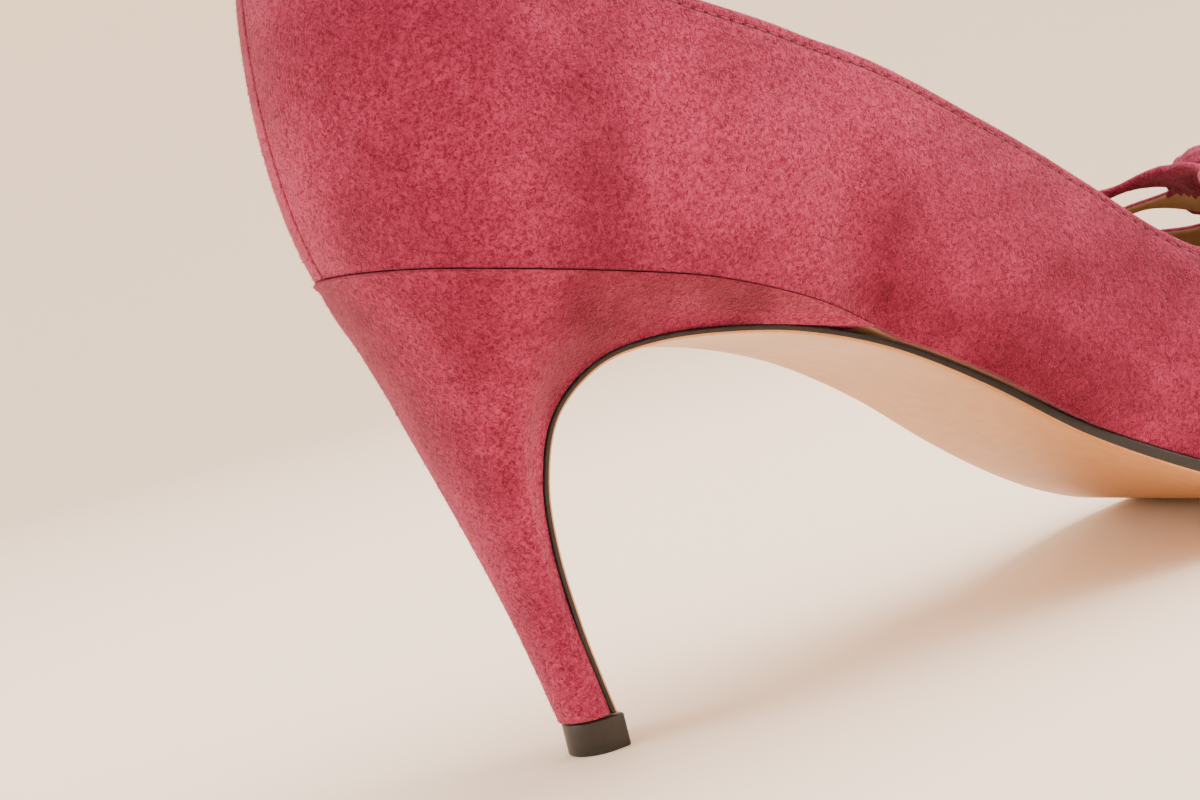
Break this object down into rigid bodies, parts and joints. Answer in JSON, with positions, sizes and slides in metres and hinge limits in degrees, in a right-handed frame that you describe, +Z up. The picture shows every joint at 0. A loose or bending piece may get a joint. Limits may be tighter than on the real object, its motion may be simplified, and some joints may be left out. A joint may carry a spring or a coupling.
{
  "type": "pump shoe",
  "caption": "Suede court shoe with a slim covered heel, a low-cut vamp with slit straps and a soft knot at the throat.",
  "frame": {"origin": "middle of the shoe's bounding box in X and Y, on the floor", "axes": "+X from heel to toe, +Y to the inner side of the foot, +Z up"},
  "size_m": [0.2358, 0.0674, 0.1302],
  "materials": {
    "upper_suede": "suede nap, matt with a soft rim sheen",
    "heel_suede": "suede nap, matt with a soft rim sheen",
    "knot_suede": "suede nap, matt",
    "sole_leather": "smooth tan leather with black painted edges",
    "lining_leather": "smooth tan leather",
    "lift_rubber": "black, faint sheen"
  },
  "bodies": {
    "root": {"upper": "upper_suede", "outsole": "sole_leather", "heel": "heel_suede", "top_piece": "lift_rubber", "insole": "lining_leather", "knot": "knot_suede"}
  },
  "joints": []
}
